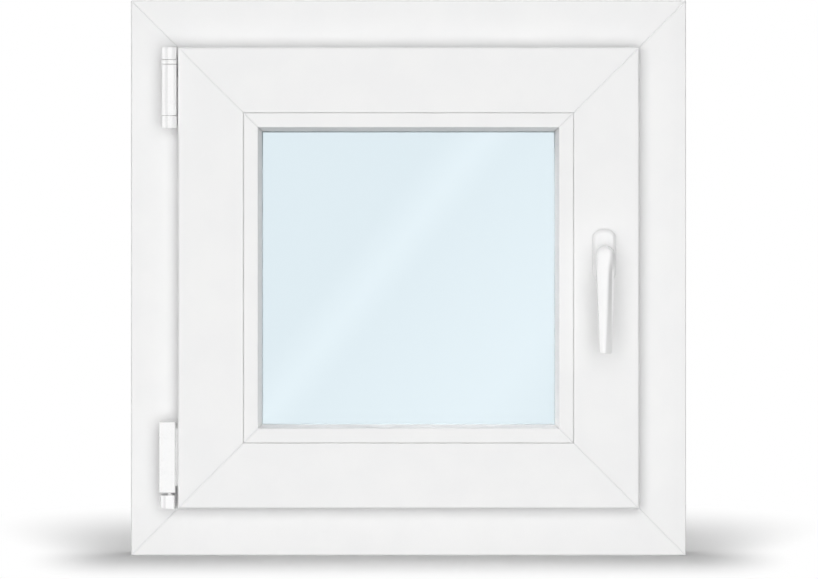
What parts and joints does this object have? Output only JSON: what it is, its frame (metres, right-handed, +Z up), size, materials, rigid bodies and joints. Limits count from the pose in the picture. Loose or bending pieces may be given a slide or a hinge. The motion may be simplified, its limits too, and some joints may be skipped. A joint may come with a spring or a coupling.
{
  "type": "tilt and turn window",
  "caption": "Square white plastic window with one inward opening sash that turns on side hinges or tilts at the top, lever handle on the sash.",
  "frame": {"origin": "middle of the frame's underside, midway through the frame's depth", "axes": "+X along the wall towards the lock side, +Y outdoors, +Z up; the room is on the -Y side"},
  "size_m": [0.6, 0.1368, 0.6],
  "materials": {
    "frame_plastic": "white satin extrusion",
    "sash_plastic": "white satin extrusion",
    "bead_plastic": "white satin extrusion",
    "seal_rubber": "light grey soft seal",
    "pane_glass": "clear float glass, pale blue",
    "spacer_aluminium": "mill finish",
    "hinge_white": "white coat",
    "handle_white": "white coat",
    "zinc_steel": "zinc plated"
  },
  "bodies": {
    "frame": {"frame_head": "frame_plastic", "frame_sill": "frame_plastic", "frame_hinge_jamb": "frame_plastic", "frame_lock_jamb": "frame_plastic", "frame_seal": "seal_rubber", "drain_covers": "frame_plastic", "top_hinge_bracket": "hinge_white", "top_hinge_pin": "zinc_steel", "bottom_hinge_bearing": "hinge_white", "lock_keeps": "zinc_steel"},
    "pivot": {"bottom_hinge_pivot": "zinc_steel"},
    "sash": {"sash_top_rail": "sash_plastic", "sash_bottom_rail": "sash_plastic", "sash_hinge_stile": "sash_plastic", "sash_lock_stile": "sash_plastic", "sash_seal": "seal_rubber", "glazing_bead_top": "bead_plastic", "glazing_bead_bottom": "bead_plastic", "glazing_bead_left": "bead_plastic", "glazing_bead_right": "bead_plastic", "inner_glazing_gasket": "seal_rubber", "outer_glazing_gasket": "seal_rubber", "inner_pane": "pane_glass", "outer_pane": "pane_glass", "glazing_spacer": "spacer_aluminium", "bottom_hinge_band": "hinge_white", "handle_rosette": "handle_white", "stay_guide_rail": "zinc_steel", "lock_faceplate": "zinc_steel", "locking_cams": "zinc_steel"},
    "handle": {"handle_lever": "handle_white"},
    "hinge_sleeve": {"top_hinge_sleeve": "hinge_white"},
    "stay": {"stay_arm": "zinc_steel"}
  },
  "joints": [
    {"name": "sash_tilt", "type": "hinge", "parent": "frame", "child": "pivot", "pos_m": [-0.2575, -0.051, 0.055], "axis": [1, 0, 0], "range_deg": [0, 12]},
    {"name": "sash_turn", "type": "hinge", "parent": "pivot", "child": "sash", "pos_m": [-0.2575, -0.051, 0.3], "axis": [0, 0, -1], "range_deg": [0, 100]},
    {"name": "handle_turn", "type": "hinge", "parent": "sash", "child": "handle", "pos_m": [0.2105, -0.066, 0.324], "axis": [0, 1, 0], "range_deg": [0, 180]},
    {"name": "sleeve_turn", "type": "hinge", "parent": "frame", "child": "hinge_sleeve", "pos_m": [-0.2575, -0.051, 0.503], "axis": [0, 0, -1], "range_deg": [0, 100]},
    {"name": "stay_swing", "type": "hinge", "parent": "hinge_sleeve", "child": "stay", "pos_m": [-0.2575, -0.051, 0.532], "axis": [0, 0, -1], "range_deg": [0, 28.7]}
  ],
  "couplings": [
    {"joint": "sleeve_turn", "follows": "sash_turn", "ratio": 1},
    {"joint": "stay_swing", "follows": "sash_tilt", "ratio": 2.3911}
  ]
}
